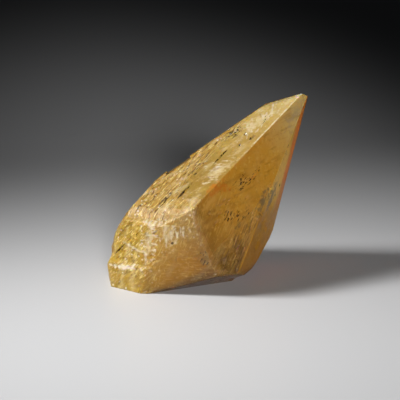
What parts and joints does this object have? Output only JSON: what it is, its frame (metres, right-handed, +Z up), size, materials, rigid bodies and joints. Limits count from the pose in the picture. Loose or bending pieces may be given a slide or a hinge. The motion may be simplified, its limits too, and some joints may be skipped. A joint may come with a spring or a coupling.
{
  "type": "calcite ornament",
  "caption": "Golden calcite crystal with a long pointed tip, leaning to one side and standing on its flat cut base.",
  "frame": {"origin": "middle of the footprint of the whole crystal, on the plane of its cut base", "axes": "+Z up from the base, +X towards the side that the tip leans to, +Y away from the viewer of the front"},
  "size_m": [0.091, 0.0668, 0.0812],
  "materials": {
    "calcite": "translucent golden calcite, glossy on the smooth faces and rough and sparkling where it is stepped"
  },
  "bodies": {
    "root": {"calcite_crystal": "calcite"}
  },
  "joints": []
}
